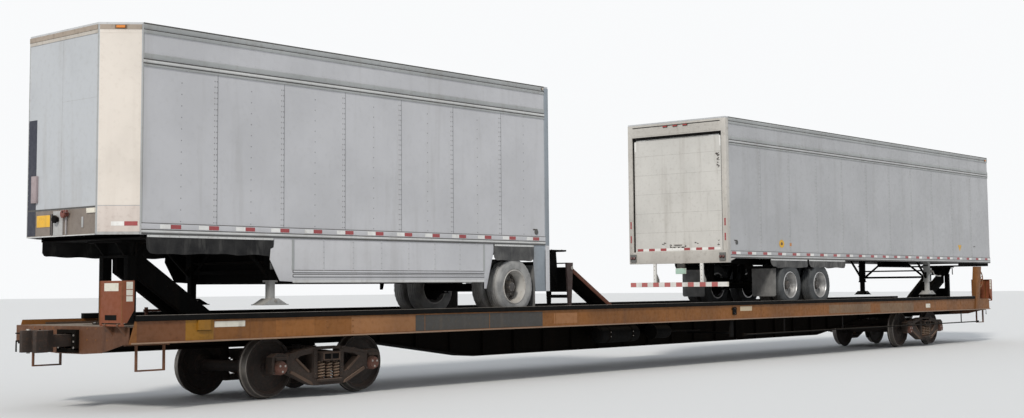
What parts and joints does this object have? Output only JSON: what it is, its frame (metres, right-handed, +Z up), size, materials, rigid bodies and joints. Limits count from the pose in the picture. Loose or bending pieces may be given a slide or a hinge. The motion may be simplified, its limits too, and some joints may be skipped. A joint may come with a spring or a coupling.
{
  "type": "piggyback flatcar with two semi-trailers",
  "caption": "Long railway flatcar on two trucks, carrying a short drop-frame box trailer and a long tandem box trailer.",
  "frame": {"origin": "middle of the car, at the level of the wheel flanges' lowest points", "axes": "+X along the car towards the end with the hand brake, +Y across it to the far side, +Z up"},
  "size_m": [28.54, 2.7, 4.994],
  "materials": {
    "car_paint": "orange-tan paint, faded and dusty",
    "dark_steel": "black paint, dusty",
    "truck_steel": "cast steel, brown dust",
    "spring_steel": "sprung steel, brown dust",
    "wheel_steel": "rolled steel, rusty, tread worn bright",
    "trailer_grey_blue": "pale grey-blue paint",
    "trailer_grey": "grey paint",
    "trailer_white": "off-white paint",
    "trailer_frame": "dark chassis paint",
    "leg_grey": "grey paint",
    "tyre": "black rubber, dusty",
    "flap_rubber": "black rubber sheet, dusty",
    "rim_cream": "cream paint",
    "rim_metal": "bright metal"
  },
  "bodies": {
    "car_and_trailers": {"air_tank": "dark_steel", "brake_gear": "dark_steel", "brake_rod": "dark_steel", "center_sill": "car_paint", "coupler_a": "dark_steel", "coupler_b": "dark_steel", "cross_members": "car_paint", "deck": "car_paint", "end_sill_a": "car_paint", "end_sill_b": "car_paint", "hand_brake": "car_paint", "hitch_a": "dark_steel", "hitch_b": "dark_steel", "hitch_mid_base": "dark_steel", "long_trailer_bogie": "trailer_frame", "long_trailer_flaps": "flap_rubber", "long_trailer_floor": "trailer_frame", "long_trailer_landing_gear": "leg_grey", "long_trailer_nose": "trailer_white", "long_trailer_rear_door": "trailer_white", "long_trailer_rear_frame": "trailer_grey", "long_trailer_roof": "trailer_grey", "long_trailer_wall_far": "trailer_grey", "long_trailer_wall_near": "trailer_grey", "short_trailer_belly": "trailer_grey_blue", "short_trailer_flaps": "flap_rubber", "short_trailer_floor": "trailer_frame", "short_trailer_landing_gear": "leg_grey", "short_trailer_nose": "trailer_white", "short_trailer_rear_door": "trailer_grey_blue", "short_trailer_rear_frame": "trailer_grey_blue", "short_trailer_roof": "trailer_grey_blue", "short_trailer_running_gear": "trailer_frame", "short_trailer_wall_far": "trailer_grey_blue", "short_trailer_wall_near": "trailer_grey_blue", "side_sill_far": "car_paint", "side_sill_near": "car_paint"},
    "truck_a": {"truck_a_bolster": "truck_steel", "truck_a_brake_beams": "truck_steel", "truck_a_sideframes": "truck_steel", "truck_a_springs": "spring_steel"},
    "truck_a_wheels_1": {"truck_a_wheelset_1": "wheel_steel"},
    "truck_a_wheels_2": {"truck_a_wheelset_2": "wheel_steel"},
    "bridge_plate_a_swing": {"bridge_plate_a": "car_paint"},
    "truck_b": {"truck_b_bolster": "truck_steel", "truck_b_brake_beams": "truck_steel", "truck_b_sideframes": "truck_steel", "truck_b_springs": "spring_steel"},
    "truck_b_wheels_1": {"truck_b_wheelset_1": "wheel_steel"},
    "truck_b_wheels_2": {"truck_b_wheelset_2": "wheel_steel"},
    "bridge_plate_b_swing": {"bridge_plate_b": "car_paint"},
    "mid_hitch_post_body": {"hitch_mid_head": "dark_steel", "hitch_mid_post": "dark_steel"},
    "mid_hitch_strut_body": {"hitch_mid_strut": "dark_steel"},
    "short_trailer_wheels": {"short_trailer_hubs": "rim_cream", "short_trailer_tyres": "tyre"},
    "long_trailer_rear_wheels": {"long_trailer_rear_hubs": "rim_metal", "long_trailer_rear_tyres": "tyre"},
    "long_trailer_front_wheels": {"long_trailer_front_hubs": "rim_metal", "long_trailer_front_tyres": "tyre"}
  },
  "joints": [
    {"name": "truck_a_swivel", "type": "hinge", "parent": "car_and_trailers", "child": "truck_a", "pos_m": [-10.058, 0, 0.688], "axis": [0, 0, 1], "range_deg": [-10, 10]},
    {"name": "truck_a_axle_1_turn", "type": "hinge", "parent": "truck_a", "child": "truck_a_wheels_1", "pos_m": [-10.947, 0, 0.447], "axis": [0, 1, 0], "continuous": true},
    {"name": "truck_a_axle_2_turn", "type": "hinge", "parent": "truck_a", "child": "truck_a_wheels_2", "pos_m": [-9.169, 0, 0.447], "axis": [0, 1, 0], "continuous": true},
    {"name": "bridge_plate_a_lower", "type": "hinge", "parent": "car_and_trailers", "child": "bridge_plate_a_swing", "pos_m": [-13.715, -1.1, 1.108], "axis": [0, -1, 0], "range_deg": [0, 90]},
    {"name": "truck_b_swivel", "type": "hinge", "parent": "car_and_trailers", "child": "truck_b", "pos_m": [10.058, 0, 0.688], "axis": [0, 0, 1], "range_deg": [-10, 10]},
    {"name": "truck_b_axle_1_turn", "type": "hinge", "parent": "truck_b", "child": "truck_b_wheels_1", "pos_m": [9.169, 0, 0.447], "axis": [0, 1, 0], "continuous": true},
    {"name": "truck_b_axle_2_turn", "type": "hinge", "parent": "truck_b", "child": "truck_b_wheels_2", "pos_m": [10.947, 0, 0.447], "axis": [0, 1, 0], "continuous": true},
    {"name": "bridge_plate_b_lower", "type": "hinge", "parent": "car_and_trailers", "child": "bridge_plate_b_swing", "pos_m": [13.715, -1.1, 1.108], "axis": [0, 1, 0], "range_deg": [0, 90]},
    {"name": "mid_hitch_fold", "type": "hinge", "parent": "car_and_trailers", "child": "mid_hitch_post_body", "pos_m": [-3.345, 0, 1.148], "axis": [0, 1, 0], "range_deg": [0, 78]},
    {"name": "mid_hitch_strut_turn", "type": "hinge", "parent": "mid_hitch_post_body", "child": "mid_hitch_strut_body", "pos_m": [-3.285, 0, 1.898], "axis": [0, 1, 0], "range_deg": [-105, 0]},
    {"name": "short_trailer_axle_turn", "type": "hinge", "parent": "car_and_trailers", "child": "short_trailer_wheels", "pos_m": [-6.02, 0, 1.558], "axis": [0, 1, 0], "continuous": true},
    {"name": "long_trailer_rear_axle_turn", "type": "hinge", "parent": "car_and_trailers", "child": "long_trailer_rear_wheels", "pos_m": [3.13, 0, 1.558], "axis": [0, 1, 0], "continuous": true},
    {"name": "long_trailer_front_axle_turn", "type": "hinge", "parent": "car_and_trailers", "child": "long_trailer_front_wheels", "pos_m": [4.44, 0, 1.558], "axis": [0, 1, 0], "continuous": true}
  ],
  "couplings": [
    {"joint": "mid_hitch_strut_turn", "follows": "mid_hitch_fold", "ratio": -1.34}
  ]
}
